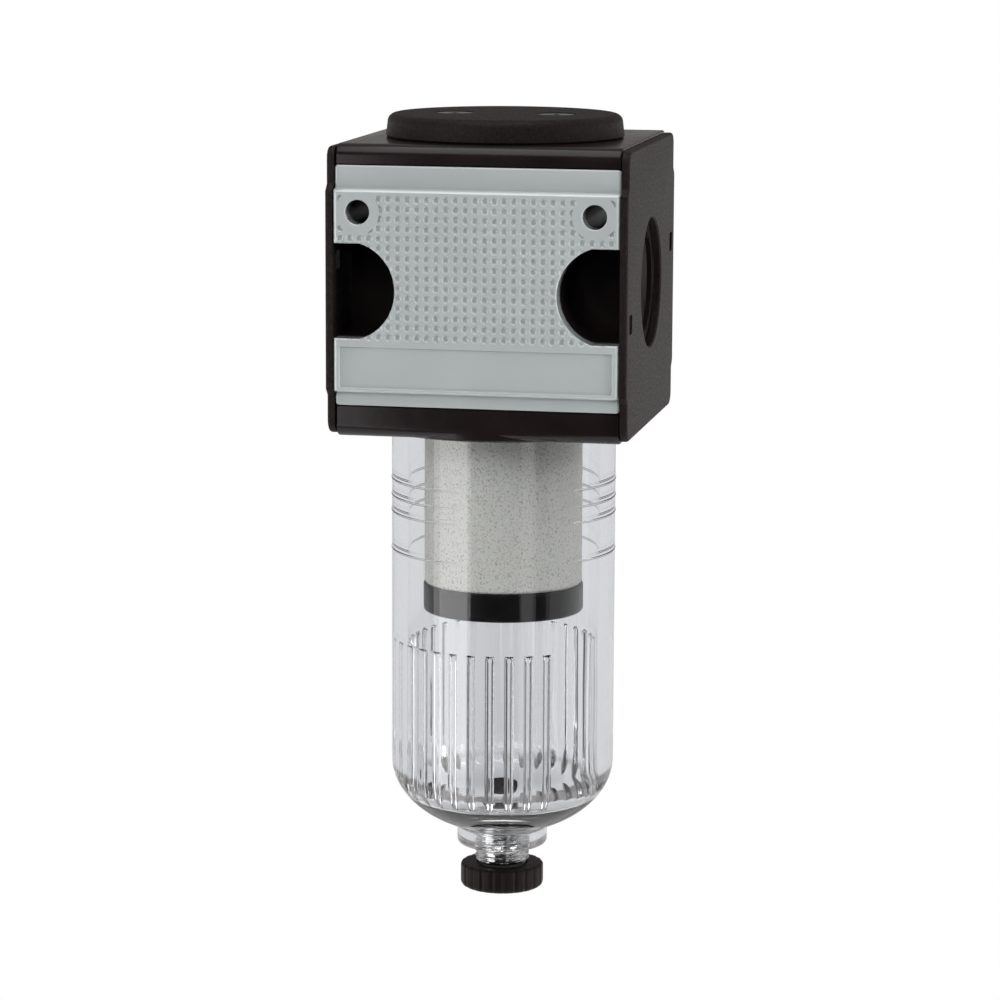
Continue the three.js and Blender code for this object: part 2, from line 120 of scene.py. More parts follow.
def loft(name, sections):
    """A closed solid through sections that have the same number of points."""
    count = len(sections[0])
    points = np.concatenate([np.asarray(s, float) for s in sections])
    faces = [list(range(count)), list(range(len(points) - count, len(points)))]
    for level in range(len(sections) - 1):
        a, b = level * count, (level + 1) * count
        for i in range(count):
            j = (i + 1) % count
            faces.append([a + i, a + j, b + j, b + i])
    return new_object(name, points, faces)


def turned(name, outline, segments=128, centre=(0, 0)):
    """A solid of revolution about Z. The outline runs from axis to axis, or round a ring."""
    rows = []
    points = []
    for radius, z in outline:
        if radius < 1e-6:
            rows.append([len(points)] * segments)
            points.append([centre[0], centre[1], z])
            continue
        rows.append(list(range(len(points), len(points) + segments)))
        for i in range(segments):
            angle = TAU * i / segments
            points.append([centre[0] + radius * math.cos(angle),
                           centre[1] + radius * math.sin(angle), z])
    closed = outline[0][0] > 1e-6
    faces = []
    for level in range(len(rows) if closed else len(rows) - 1):
        low, high = rows[level], rows[(level + 1) % len(rows)]
        for i in range(segments):
            j = (i + 1) % segments
            face = list(dict.fromkeys([low[i], low[j], high[j], high[i]]))
            if len(face) > 2:
                faces.append(face)
    return new_object(name, points, faces)


def arc(centre_r, centre_z, radius_r, radius_z, start, end, steps=8):
    angles = np.radians(np.linspace(start, end, steps + 1))
    return [(centre_r + radius_r * math.cos(a), centre_z + radius_z * math.sin(a)) for a in angles]


def rounded_rectangle(x0, x1, z0, z1, radius, steps=8):
    """Corner points of a rounded rectangle, as [x, z] rows."""
    radius = max(radius, 1e-3)
    corners = ((x1 - radius, z0 + radius, -90), (x1 - radius, z1 - radius, 0),
               (x0 + radius, z1 - radius, 90), (x0 + radius, z0 + radius, 180))
    return np.array([p for x, z, start in corners
                     for p in arc(x, z, radius, radius, start, start + 90, steps)])


def on_y(outline, y):
    return np.column_stack([outline[:, 0], np.full(len(outline), y), outline[:, 1]])


def on_x(outline, x):
    return np.column_stack([np.full(len(outline), x), outline[:, 0], outline[:, 1]])


def cylinder(name, axis, radius, levels, centre, segments=96):
    """A round tool along X or Y: levels are (coordinate, growth of the radius)."""
    sections = []
    for level, growth in levels:
        ring = np.array([[centre[0] + (radius + growth) * math.cos(TAU * i / segments),
                          centre[1] + (radius + growth) * math.sin(TAU * i / segments)]
                         for i in range(segments)])
        sections.append(on_x(ring, level) if axis == "x" else on_y(ring, level))
    return loft(name, sections)


def inset(outline, distance):
    """Moves a counterclockwise outline inwards along its corner normals."""
    ahead = np.roll(outline, -1, axis=0) - outline
    behind = outline - np.roll(outline, 1, axis=0)
    ahead /= np.linalg.norm(ahead, axis=1)[:, None]
    behind /= np.linalg.norm(behind, axis=1)[:, None]
    left = np.column_stack([-(ahead + behind)[:, 1], (ahead + behind)[:, 0]])
    left /= np.linalg.norm(left, axis=1)[:, None]
    spread = np.einsum("ij,ij->i", left, np.column_stack([-ahead[:, 1], ahead[:, 0]]))
    return outline + left * (distance / np.maximum(spread, 0.3))[:, None]


def rounded_end(radius, steps=5):
    """(inset, setback) pairs of an edge rounding, from the side wall to the end face."""
    angles = np.radians(np.linspace(0, 90, steps + 1))
    return [(radius * (1 - math.cos(a)), radius * (1 - math.sin(a))) for a in angles]


# ---------------------------------------------------------------- materials

class Finish:
    """A Principled material whose colour, roughness and relief come from noise nodes."""

    def __init__(self, name):
        self.material = bpy.data.materials.new(name)
        self.material.use_nodes = True
        self.nodes = self.material.node_tree.nodes
        self.links = self.material.node_tree.links
        self.shader = self.nodes["Principled BSDF"]
        self.place = self.nodes.new("ShaderNodeTexCoord").outputs["Object"]

    def set(self, **sockets):
        for name, value in sockets.items():
            self.shader.inputs[name.replace("_", " ")].default_value = value

    def noise(self, size, detail=3.0, roughness=0.55, stretch=(1, 1, 1)):
        scaled = self.nodes.new("ShaderNodeMapping")
        scaled.inputs["Scale"].default_value = [s / (size * MM) for s in stretch]
        self.links.new(self.place, scaled.inputs["Vector"])
        texture = self.nodes.new("ShaderNodeTexNoise")
        texture.inputs["Scale"].default_value = 1.0
        texture.inputs["Detail"].default_value = detail
        texture.inputs["Roughness"].default_value = roughness
        self.links.new(scaled.outputs["Vector"], texture.inputs["Vector"])
        return texture.outputs["Fac"]

    def cells(self, size):
        texture = self.nodes.new("ShaderNodeTexVoronoi")
        texture.feature = "F1"
        texture.inputs["Scale"].default_value = 1 / (size * MM)
        self.links.new(self.place, texture.inputs["Vector"])
        return texture.outputs["Distance"]

    def ramp(self, source, *stops):
        """stops are (position, colour or number)."""
        ramp = self.nodes.new("ShaderNodeValToRGB")
        elements = ramp.color_ramp.elements
        while len(elements) < len(stops):
            elements.new(0.5)
        for element, (position, value) in zip(elements, stops):
            element.position = position
            colour = value if isinstance(value, (tuple, list)) else (value,) * 3
            element.color = (*colour, 1)
        self.links.new(source, ramp.inputs["Fac"])
        return ramp.outputs["Color"]

    def into(self, socket, source):
        self.links.new(source, self.shader.inputs[socket])

    def relief(self, source, height):
        """Adds bump of this height in millimetres, on top of any relief already there."""
        bump = self.nodes.new("ShaderNodeBump")
        bump.inputs["Distance"].default_value = height * MM
        bump.inputs["Strength"].default_value = 1.0
        self.links.new(source, bump.inputs["Height"])
        previous = self.shader.inputs["Normal"]
        if previous.is_linked:
            self.links.new(previous.links[0].from_socket, bump.inputs["Normal"])
        self.links.new(bump.outputs["Normal"], previous)


def satin_paint():
    f = Finish("satin_black_paint")
    f.set(Specular_IOR_Level=0.30)
    f.into("Base Color", f.ramp(f.noise(7.0), (0.3, (0.0062, 0.0040, 0.0043)),
                                (0.7, (0.0092, 0.0062, 0.0066))))
    f.into("Roughness", f.ramp(f.noise(2.2, 5), (0.3, 0.18), (0.7, 0.25)))
    f.relief(f.noise(0.9, 2), 0.012)
    f.relief(f.noise(0.16, 2), 0.004)
    return f.material


def sand_texture(name, tone, specular):
    f = Finish(name)
    f.set(Specular_IOR_Level=specular)
    low = tuple(tone * c for c in (0.0055, 0.0040, 0.0036))
    high = tuple(tone * c for c in (0.0150, 0.0115, 0.0105))
    f.into("Base Color", f.ramp(f.noise(0.28, 2), (0.35, low), (0.68, high)))
    f.into("Roughness", f.ramp(f.noise(0.5, 3), (0.3, 0.42), (0.7, 0.62)))
    f.relief(f.noise(0.32, 2.5, 0.6), 0.075)
    f.relief(f.noise(3.0, 1), 0.03)
    return f.material


def grey_moulding():
    f = Finish("grey_moulding")
    f.set(Specular_IOR_Level=0.9, Coat_Weight=1.0, Coat_Roughness=0.08, Coat_IOR=1.7)
    f.into("Base Color", f.ramp(f.noise(9.0, 2), (0.3, (0.312, 0.336, 0.334)),
                                (0.7, (0.328, 0.354, 0.353))))
    f.into("Roughness", f.ramp(f.noise(1.6, 2), (0.3, 0.15), (0.7, 0.19)))
    f.relief(f.noise(0.22, 2), 0.0012)
    f.relief(f.noise(9.0, 1), 0.008)
    return f.material


def clear_plastic():
    f = Finish("clear_polycarbonate")
    f.set(Roughness=0.0, Transmission_Weight=1.0, IOR=1.57)
    f.into("Base Color", f.ramp(f.noise(14.0, 2), (0.3, (0.951, 0.963, 0.980)),
                                (0.7, (0.963, 0.972, 0.985))))
    f.relief(f.noise(9.0, 1, stretch=(1, 1, 0.35)), 0.05)
    return f.material


def sintered():
    f = Finish("sintered_granules")
    f.set(Specular_IOR_Level=0.35)
    f.into("Base Color", f.ramp(f.noise(0.34, 2, 0.6), (0.36, (0.60, 0.59, 0.52)),
                                (0.44, (0.90, 0.89, 0.81)), (0.7, (0.96, 0.955, 0.90))))
    f.into("Roughness", f.ramp(f.noise(0.8), (0.3, 0.75), (0.7, 0.95)))
    f.relief(f.ramp(f.cells(0.30), (0.0, 1.0), (0.7, 0.0)), 0.06)
    f.relief(f.noise(0.3, 2, 0.6), 0.06)
    return f.material


def metal(name, colour, rough, grain, stretch=(1, 1, 1)):
    f = Finish(name)
    f.set(Metallic=1.0)
    f.into("Base Color", f.ramp(f.noise(2.5), (0.3, tuple(0.93 * c for c in colour)), (0.7, colour)))
    f.into("Roughness", f.ramp(f.noise(0.7, 4), (0.3, rough), (0.7, rough + 0.1)))
    f.relief(f.noise(grain, 3, stretch=stretch), 0.0012)
    return f.material


def soft(name, colour, rough, grain=0.3, height=0.01, specular=0.45):
    """Rubber, silicone and moulded plastic: a plain tone with a fine moulded skin."""
    f = Finish(name)
    f.set(Specular_IOR_Level=specular)
    low = tuple(0.8 * c for c in colour)
    f.into("Base Color", f.ramp(f.noise(3.0, 4), (0.3, low), (0.7, colour)))
    f.into("Roughness", f.ramp(f.noise(1.2, 4), (0.3, rough), (0.7, rough + 0.12)))
    f.relief(f.noise(grain, 2), height)
    return f.material


PAINT = satin_paint()
SAND = sand_texture("sand_black_plate", 0.8, 0.15)
CAP_SAND = sand_texture("sand_black_cap", 0.8, 0.14)
GREY = grey_moulding()
CLEAR = clear_plastic()
SINTER = sintered()
NICKEL = metal("nickel_plate", (0.78, 0.775, 0.775), 0.10, 0.4)
ZINC = metal("zinc_steel", (0.60, 0.60, 0.58), 0.3, 0.5, (1, 1, 6))
RUBBER = soft("nitrile_rubber", (0.018, 0.018, 0.018), 0.5)
SILICONE = soft("silicone_ring", (0.72, 0.74, 0.74), 0.3)
MOULDED = soft("black_moulding", (0.0080, 0.0058, 0.0056), 0.32, 0.25, 0.004, 0.10)
GLOSSY = soft("glossy_black_disc", (0.010, 0.0085, 0.0080), 0.07, 0.6, 0.003)


# ---------------------------------------------------------------- block

POCKET = {"x": 22.4, "radius": 8.35, "half": 8.0, "floor": 13.0}
HOLE = {"x": 20.36, "z": 13.43, "radius": 2.1}


def pocket_outline(side, growth, steps=48):
    """The D outline of a coupling pocket, grown by some amount, open past the side face."""
    radius, half = POCKET["radius"] + growth, POCKET["half"] + growth
    limit = math.asin(half / radius)
    angles = np.linspace(limit, -limit, steps + 1)
    curve = [[POCKET["x"] - radius * math.cos(a), radius * math.sin(a)] for a in angles]
    outline = np.array(curve + [[30.0, -half], [30.0, half]])
    outline[:, 0] *= side
    return outline


def pocket_tool(side, face, growth=0.0, lip=0.12, surface=FRONT):
    """A cutter for one pocket. face is -1 for the front and 1 for the rear."""
    levels = [(POCKET["floor"], growth), (surface - lip, growth), (surface, growth + lip),
              (surface + 2, growth + lip)]
    return loft("pocket", [on_y(pocket_outline(side, g), face * level) for level, g in levels])


def hole_tool(side, face, inner, radius, lip, surface):
    levels = [(face * inner, 0), (face * (surface - lip), 0), (face * surface, lip),
              (face * (surface + 2), lip)]
    return cylinder("hole", "y", radius, levels, (side * HOLE["x"], HOLE["z"]), 64)


def housing():
    top, bottom, boss_bottom, depth = 24.8, -25.3, -25.5, 24.5
    outline = rounded_rectangle(-depth, depth, bottom, top, 2.4, 12)
    ends = rounded_end(0.35, 3)
    sections = [on_x(inset(outline, i), -HALF_WIDTH + s) for i, s in reversed(ends)]
    sections += [on_x(inset(outline, i), HALF_WIDTH - s) for i, s in ends]
    block = loft("housing_casting", sections)
    boss = turned("boss", [(0, boss_bottom)] + arc(24.45 - 0.5, boss_bottom + 0.5, 0.5, 0.5, -90, 0, 4)
                  + [(24.45, -19.9), (0, -19.9)], 160)
    boolean(block, "UNION", boss)
    seats = [loft("seat", [on_x(rounded_rectangle(*sorted((f * 22.75, f * 27)), -19.97, 21.47, 0.3, 4), x)
                           for x in (-30, 30)]) for f in (-1, 1)]
    socket = [(0, -27), (20.6, -27), (20.6, boss_bottom), (20, boss_bottom + 0.6), (20, -13.5),
              (17, -13.5), (17, -11), (9, -11), (9, 16.5), (15.6, 16.5), (15.6, 26), (0, 26)]
    bores = [
        turned("socket", socket, 128),
        loft("drop", [on_y(rounded_rectangle(-17, -12.5, -12, -5, 0.8), y) for y in (-5, 5)]),
        cylinder("left_bore", "x", 8.3, [(-30, 0.9), (-23.75, 0.9), (-22.95, 0), (-12.5, 0)], (0, 0)),
        cylinder("right_bore", "x", 8.3, [(0, 0), (22.95, 0), (23.75, 0.9), (30, 0.9)], (0, 0)),
    ]
    pockets = [pocket_tool(side, face, surface=22.75) for side in (-1, 1) for face in (-1, 1)]
    holes = [cylinder("screw_hole", "y", HOLE["radius"], [(-27, 0), (27, 0)],
                      (side * HOLE["x"], HOLE["z"]), 64) for side in (-1, 1)]
    boolean(block, "DIFFERENCE", *seats, *bores, *pockets, *holes)
    finish_piece(block, "block", PAINT, ["housing"])


def port_thread(name, start, end):
    """The G 3/8 thread of a port, as a thin threaded lining of the bore."""
    pitch, major, minor, segments = 1.337, 8.2, 7.45, 72
    steps = int((end - start) / pitch * 10)
    points = []
    for level in range(steps + 1):
        x = start + (end - start) * level / steps
        for i in range(segments):
            angle = TAU * i / segments
            phase = (x / pitch - i / segments) % 1.0
            crest = min(1.0, max(0.0, 1.45 - 2.9 * abs(phase - 0.5) - 0.2))
            ease = min(1.0, (x - start) / 1.2, (end - x) / 1.2)
            radius = major - (major - minor) * crest * max(0.0, ease)
            points.append([x, radius * math.cos(angle), radius * math.sin(angle)])
    for level in (steps, 0):
        x = start + (end - start) * level / steps
        points += [[x, 8.34 * math.cos(TAU * i / segments), 8.34 * math.sin(TAU * i / segments)]
                   for i in range(segments)]
    lining = new_object(name, points, grid_faces(steps + 3, segments))
    finish_piece(lining, "block", PAINT, sharp=50)


def plate_outline():
    """The end plate's outline in Y and Z: it steps out with the covers' raised zone."""
    band, zone, top, bottom = 24.85, 26.1, 24.35, -24.8
    slope = zone - band
    right = arc(band - 2.5, bottom + 2.5, 2.5, 2.5, -90, 0, 10)
    right += [(band, -17 - slope), (zone, -17), (zone, 16.95), (band, 16.95 + slope)]
    right += arc(band - 2, top - 2, 2, 2, 0, 90, 10)
    return np.array(right + [(-y, z) for y, z in reversed(right)])


def end_plate(name, side):
    outline = plate_outline()
    sections = [on_x(outline, 24.7)]
    sections += [on_x(inset(outline, i), 26 - s) for i, s in rounded_end(0.5, 6)]
    plate = loft(name, sections)
    port = cylinder("port", "x", 11.2, [(24, 0), (25.75, 0), (26.0, 0.25), (28, 0.25)], (0, 0), 128)
    windows = []
    for end in (-1, 1):
        y, z = end * 22.1, end * 4.9
        opening = rounded_rectangle(y - 1.45, y + 1.45, z - 1.65, z + 1.65, 0.25, 3)
        windows.append(loft("window", [on_x(opening, x) for x in (24, 28)]))
    boolean(plate, "DIFFERENCE", port, *windows)
    if side < 0:
        plate.data.transform(about_axis(Matrix.Rotation(math.pi, 4, "Z")))
    node = "end_plate_right" if side > 0 else "end_plate_left"
    finish_piece(plate, "block", SAND, [node])


# ---------------------------------------------------------------- covers

COVER = {"half": 24.6, "top": 21.27, "bottom": -19.77, "back": 22.85, "band": 24.7,
         "zone_top": 16.95, "zone_bottom": -17.0, "slope": 0.75}
DIMPLE = {"pitch_x": 1.665, "pitch_z": 1.672, "top": 15.65, "columns": 14, "rows": 15,
          "floor": 0.26, "wall": 0.46, "steepest": 68, "land": 3.85}


def dimple_levels():
    """(radius, y) from in front of the cover to the flat floor of one dimple."""
    steepest = math.radians(DIMPLE["steepest"])
    rim = DIMPLE["floor"] + DIMPLE["wall"] * math.sin(steepest)
    levels = [(rim, -FRONT - 0.5)]
    for angle in np.linspace(steepest, 0, 7):
        depth = DIMPLE["wall"] * (math.cos(angle) - math.cos(steepest))
        levels.append((DIMPLE["floor"] + DIMPLE["wall"] * math.sin(angle), depth - FRONT))
    return levels


def dimples():
    """All dimples of the field as one tool: flat floors with walls that curve up to the face."""
    sides = 20
    levels = dimple_levels()
    points, faces = [], []
    for row in range(DIMPLE["rows"]):
        z0 = DIMPLE["top"] - row * DIMPLE["pitch_z"]
        for column in range(-DIMPLE["columns"], DIMPLE["columns"] + 1):
            x0 = column * DIMPLE["pitch_x"]
            if inside_pocket(x0, z0):
                continue
            base = len(points)
            for radius, y in levels:
                points += [[x0 + radius * math.cos(TAU * i / sides), y,
                            z0 + radius * math.sin(TAU * i / sides)] for i in range(sides)]
            for i in range(sides):
                j = (i + 1) % sides
                for ring in range(len(levels) - 1):
                    a = base + ring * sides
                    faces.append([a + i, a + j, a + sides + j, a + sides + i])
            faces.append([base + i for i in range(sides)])
            faces.append([base + (len(levels) - 1) * sides + i for i in range(sides)])
    return new_object("dimples", points, faces)


def inside_pocket(x, z):
    """True where a dimple would lie wholly in a coupling pocket's cut-out."""
    reach = math.hypot(abs(x) - POCKET["x"], z)
    return abs(z) < POCKET["half"] and (reach < POCKET["radius"] - 0.9 or abs(x) > POCKET["x"])


def strip():
    """The shallow recess for a name strip, which only the front cover has."""
    return loft("strip", [on_y(rounded_rectangle(-23.6 + i, 23.6 - i, -16.65 + i, -9.5 - i, 0.3, 3), y)
                          for y, i in ((0.3 - FRONT, 0.12), (-FRONT, 0.0), (-28, 0.0))])


def cover(name, node, face):
    """A cover is made as the front one; face 1 mirrors it for the rear."""
    c = COVER
    plate_sections = [(c["back"], 0)]
    plate_sections += [(c["band"] - s, i) for i, s in rounded_end(0.45, 5)]
    plate = loft(name, [on_y(rounded_rectangle(-c["half"] + i, c["half"] - i, c["bottom"] + 0.4 * i,
                                               c["top"] - 0.6 * i, 0.5, 4), -y)
                        for y, i in plate_sections])
    rise = FRONT - c["band"]
    zone_sections = [(23.6, 0)] + [(FRONT - s, i) for i, s in rounded_end(0.6, 6)]
    sections = []
    for y, i in zone_sections:
        share = c["slope"] * (1 - max(0.0, y - c["band"]) / rise)
        edge = min(i, 0.6) * 0.22
        sections.append(on_y(rounded_rectangle(-c["half"] + i, c["half"] - i,
                                               c["zone_bottom"] - share + edge,
                                               c["zone_top"] + share - edge, 0.25, 3), -y))
    boolean(plate, "UNION", loft("zone", sections))
    lands = [cylinder("land", "y", DIMPLE["land"], [(-28, 0), (-24, 0)], (s * HOLE["x"], HOLE["z"]), 72)
             for s in (-1, 1)]
    field = boolean(dimples(), "DIFFERENCE", *lands)
    pockets = [pocket_tool(side, -1, 0.12, 0.15) for side in (-1, 1)]
    holes = [hole_tool(side, -1, 20, HOLE["radius"], 0.12, FRONT) for side in (-1, 1)]
    boolean(plate, "DIFFERENCE", field, *pockets, *holes)
    if face < 0:
        boolean(plate, "DIFFERENCE", strip())
    else:
        plate.data.transform(about_axis(Matrix.Scale(-1, 4, Vector((0, 1, 0)))))
        plate.data.flip_normals()
    finish_piece(plate, "block", GREY, [node])


# ---------------------------------------------------------------- cap

def top_cap():
    top, edge, disc = 28.85, 1.45, 3.55
    outline = [(0, 24), (11.5, 24), (11.5, 17), (15, 17), (15.3, 17.3), (15.3, 19.2), (13.1, 19.2),
               (13.1, 21.8), (15.3, 21.8), (15.3, 24.9), (20.55, 24.9), (20.77, 25.12)]
    outline += arc(20.5 - edge, top - edge, edge, edge, 0, 90, 10) + [(0, top)]
    cap = turned("cap_body", outline, 192)
    tools = []
    for side in (-1, 1):
        x = side * 9
        tools.append(turned("disc", [(0, top - 0.4), (disc - 0.05, top - 0.4), (disc - 0.05, top - 0.1),
                                     (disc, top), (disc, top + 1), (0, top + 1)], 72, (x, 0)))
    boolean(cap, "DIFFERENCE", *tools)
    finish_piece(cap, "block", CAP_SAND, ["top_cap"])
    for side, word in ((-1, "left"), (1, "right")):
        x = side * 9
        insert = turned(f"cap_disc_{word}",
                        [(0, top - 0.6), (disc - 0.12, top - 0.6), (disc - 0.12, top - 0.16),
                         (disc - 0.2, top - 0.1), (0.62, top - 0.1), (0.5, top - 0.12), (0.3, top - 0.01),
                         (0, top)], 72, (x, 0))
        finish_piece(insert, "block", GLOSSY)


# ---------------------------------------------------------------- element and baffle

def filter_element():
    """A sintered tube whose surface is broken up into granules."""
    outer, inner, top, bottom = 13.95, 9.5, -15.2, -53.6
    around, up = 420, 180
    rng = np.random.default_rng(7)
    grain = rng.random((up + 1, around))
    grain = 0.5 * grain + 0.5 * (np.roll(grain, 1, 0) + np.roll(grain, 1, 1) + np.roll(grain, -1, 0)
                                 + np.roll(grain, -1, 1)) / 4
    points = []
    for level in range(up + 1):
        z = top + (bottom - top) * level / up
        edge = max(0.0, 0.5 - min(level, up - level) * 0.22) ** 2
        for i in range(around):
            radius = outer - 0.10 * grain[level, i] - edge
            angle = TAU * i / around
            points.append([radius * math.cos(angle), radius * math.sin(angle), z])
    for level in (up, 0):
        z = top + (bottom - top) * level / up
        points += [[inner * math.cos(TAU * i / around), inner * math.sin(TAU * i / around), z]
                   for i in range(around)]
    tube = new_object("sintered_tube", points, grid_faces(up + 3, around))
    finish_piece(tube, "block", SINTER, ["filter_element"], sharp=60)


def baffle():
    outline = [(2.6, -53.7), (2.6, -55.9)] + arc(12.07, -56.5, 0.6, 0.6, 90, 0, 4)
    outline += [(12.67, -58.5), (12.87, -58.7)]
    outline += arc(14.17 - 0.8, -58.7 + 0.8, 0.8, 0.8, -90, 0, 6)
    outline += arc(14.17 - 0.25, -53.7 - 0.25, 0.25, 0.25, 0, 90, 4)
    outline += [(13.4, -53.7), (13.4, -54.55), (9.6, -54.55), (9.6, -53.7)]
    finish_piece(turned("baffle_cup", outline, 160), "block", MOULDED, ["baffle"])


# ---------------------------------------------------------------- bowl

RIBS = {"positions": 33, "first": 3.65, "window": (40, 95), "half": 0.78, "height": 0.95, "top": -64.1}
BOWL = {"outer": 19.77, "inner": 16.95, "boss": 8.04, "bottom": -101.77,
        "outer_dome": (-85.9, 13.4), "inner_dome": (-89.5, 6.8)}
BOWL_LINES = {"levels": (-35.15, -38.1, -40.9, -47.65), "from": 49, "to": 349, "height": 0.1, "half": 0.2}


def rib_angles():
    angles = [RIBS["first"] + 360 * i / RIBS["positions"] for i in range(RIBS["positions"])]
    return [a for a in angles if not RIBS["window"][0] <= a <= RIBS["window"][1]]


def bowl_columns():
    """Angles from the front towards the right, in degrees, dense over the ribs, with the
    height share of a rib at each."""
    inner = BOWL["inner"]
    half = [(0.14, 1.0), (0.28, 0.93), (0.40, 0.74), (0.52, 0.42), (0.64, 0.13), (RIBS["half"], 0.0)]
    profile = [(-offset, share) for offset, share in reversed(half)] + half
    columns = []
    ribs = rib_angles()
    for n, angle in enumerate(ribs):
        columns += [(angle + math.degrees(offset / inner), share) for offset, share in profile]
        following = ribs[(n + 1) % len(ribs)] + (360 if n + 1 == len(ribs) else 0)
        start = angle + math.degrees(RIBS["half"] / inner)
        end = following - math.degrees(RIBS["half"] / inner)
        extra = max(2, int((end - start) / 1.6))
        columns += [(start + (end - start) * k / (extra + 1), 0.0) for k in range(1, extra + 1)]
    return columns


def bowl_rows():
    """(kind, radius, z) around the section: up the outside, over the rim, down the inside."""
    outer, inner, boss, bottom = (BOWL[key] for key in ("outer", "inner", "boss", "bottom"))
    boss_angle = -math.degrees(math.acos(8.35 / outer))
    rows = [("plain", r, z) for r, z in arc(boss - 0.95, bottom + 0.95, 0.95, 0.95, -90, 0, 7)]
    dome_z, dome_height = BOWL["outer_dome"]
    edge_z = dome_z + dome_height * math.sin(math.radians(boss_angle))
    rows += [("plain", boss, edge_z - 0.5), ("plain", 8.08, edge_z - 0.32), ("plain", 8.2, edge_z - 0.18)]
    rows += [("plain", r, z) for r, z in arc(0, dome_z, outer, dome_height, boss_angle, 0, 26)]
    levels = set(np.linspace(-84, -19, 40).tolist())
    for z in BOWL_LINES["levels"]:
        levels |= {z - 0.2, z - 0.12, z - 0.05, z + 0.05, z + 0.12, z + 0.2}
    rows += [("line", outer, z) for z in sorted(levels)]
    rows += [("plain", outer, -18.4), ("plain", 18, -18.4), ("plain", 18, -15.6), ("plain", outer, -15.6),
             ("plain", outer, -14.1), ("plain", outer - 0.4, -13.7), ("plain", inner + 0.4, -13.7),
             ("plain", inner, -14.1)]
    rows += [("plain", inner, z) for z in np.linspace(-18, RIBS["top"] + 0.25, 10)]
    rows += [("rib", inner, RIBS["top"] + 0.1, 0.0), ("rib", inner, RIBS["top"], 0.35),
             ("rib", inner, RIBS["top"] - 0.15, 0.8), ("rib", inner, RIBS["top"] - 0.35, 1.0)]
    rows += [("rib", inner, z, 1.0) for z in np.linspace(-66, -89.2, 9)]
    floor_angle = -math.degrees(math.acos(5.2 / inner))
    dome_z, dome_height = BOWL["inner_dome"]
    rows += [("rib", r, z, 1.0) for r, z in arc(0, dome_z, inner, dome_height, 0, floor_angle, 30)]
    rows += [("plain", 4.95, rows[-1][2] - 0.25), ("plain", 4.95, -97.3), ("plain", 6.4, -97.3),
             ("plain", 6.4, -98.9), ("plain", 4.95, -98.9), ("plain", 4.95, -101.5), ("plain", 5.2, bottom)]
    return rows


def line_share(angle, z):
    """How far the raised lines round the bowl stand out here, from 0 to 1."""
    angle %= 360
    ends = min(1.0, max(0.0, min(angle - BOWL_LINES["from"], BOWL_LINES["to"] - angle) / 1.0))
    nearest = min(abs(z - level) for level in BOWL_LINES["levels"])
    return ends * max(0.0, 1 - (nearest / BOWL_LINES["half"]) ** 2)


def bowl():
    columns, rows = bowl_columns(), bowl_rows()
    points = []
    for row in rows:
        kind, radius, z = row[:3]
        for angle, share in columns:
            r = radius
            if kind == "line":
                r += BOWL_LINES["height"] * line_share(angle, z)
            elif kind == "rib":
                r = min(radius, BOWL["inner"] - RIBS["height"] * share * row[3])
            a = math.radians(angle)
            points.append([r * math.sin(a), -r * math.cos(a), z])
    shell = new_object("clear_bowl", points, grid_faces(len(rows), len(columns)))
    finish_piece(shell, "bowl_unit", CLEAR, ["bowl"], sharp=38)


# ---------------------------------------------------------------- drain

def threaded(name, major, minor, pitch, top, bottom, inner_outline, lead=0.6):
    """A threaded rod or tube: the helix outside, then inner_outline from the bottom back up."""
    segments, per_turn = 64, 12
    steps = int((top - bottom) / pitch * per_turn)
    rows = []
    for level in range(steps + 1):
        z = top + (bottom - top) * level / steps
        ease = max(0.0, min(1.0, (top - z) / lead, (z - bottom) / lead))
        row = []
        for i in range(segments):
            phase = (z / pitch - i / segments) % 1.0
            crest = min(1.0, max(0.0, 1.25 - 2.9 * abs(phase - 0.5)))
            outside = minor + (major - minor) * crest
            chamfer = minor + (major - minor) * (0.3 + 0.7 * ease)
            radius = min(outside, chamfer)
            row.append([radius * math.sin(TAU * i / segments), -radius * math.cos(TAU * i / segments), z])
        rows.append(row)
    for radius, z in inner_outline:
        rows.append([[radius * math.sin(TAU * i / segments), -radius * math.cos(TAU * i / segments), z]
                     for i in range(segments)])
    points = [p for row in rows for p in row]
    return new_object(name, points, grid_faces(len(rows), segments))


def drain():
    tube = threaded("drain_tube", 4.84, 4.25, 0.907, -93.4, -105.1,
                    [(3.65, -105.1), (3.35, -104.8), (3.35, -98.4), (2.95, -98), (2.95, -93.6), (3.1, -93.4)])
    finish_piece(tube, "bowl_unit", NICKEL, ["drain_body"], sharp=50)
    stem = threaded("drain_spindle", 2.85, 2.45, 0.8, -90.2, -105.75,
                    [(2.0, -105.75), (2.0, -108.6), (1e-3, -108.6), (1e-3, -90.2)], lead=0.5)
    finish_piece(stem, "drain_screw", MOULDED, ["drain_stem"], sharp=50)


def drain_knob():
    """A fluted knob with a rounded top edge and a recess for the washer."""
    flutes = 22
    count = flutes * 12
    outline = [(2.1, -105.85), (4.42, -105.85), (4.5, -105.77), (4.62, -105.4), (6.9, -105.4),
               (7.2, -105.48), (7.36, -105.68), (7.39, -105.9), (7.39, -108.75), (7.32, -109.1),
               (7.1, -109.4), (6.75, -109.6), (2.3, -109.6), (2.1, -109.4)]
    points = []
    for radius, z in outline:
        for i in range(count):
            turn = (i / count * flutes) % 1.0
            notch = math.exp(-((min(turn, 1 - turn)) / 0.13) ** 2)
            fluted = max(0.0, min(1.0, (radius - 6.4) / 0.8))
            r = radius - 0.2 * notch * fluted
            a = TAU * i / count + math.radians(13.7)
            points.append([r * math.sin(a), -r * math.cos(a), z])
    knob = new_object("knob", points, grid_faces(len(outline), count))
    finish_piece(knob, "drain_screw", MOULDED, ["drain_knob"], sharp=40)


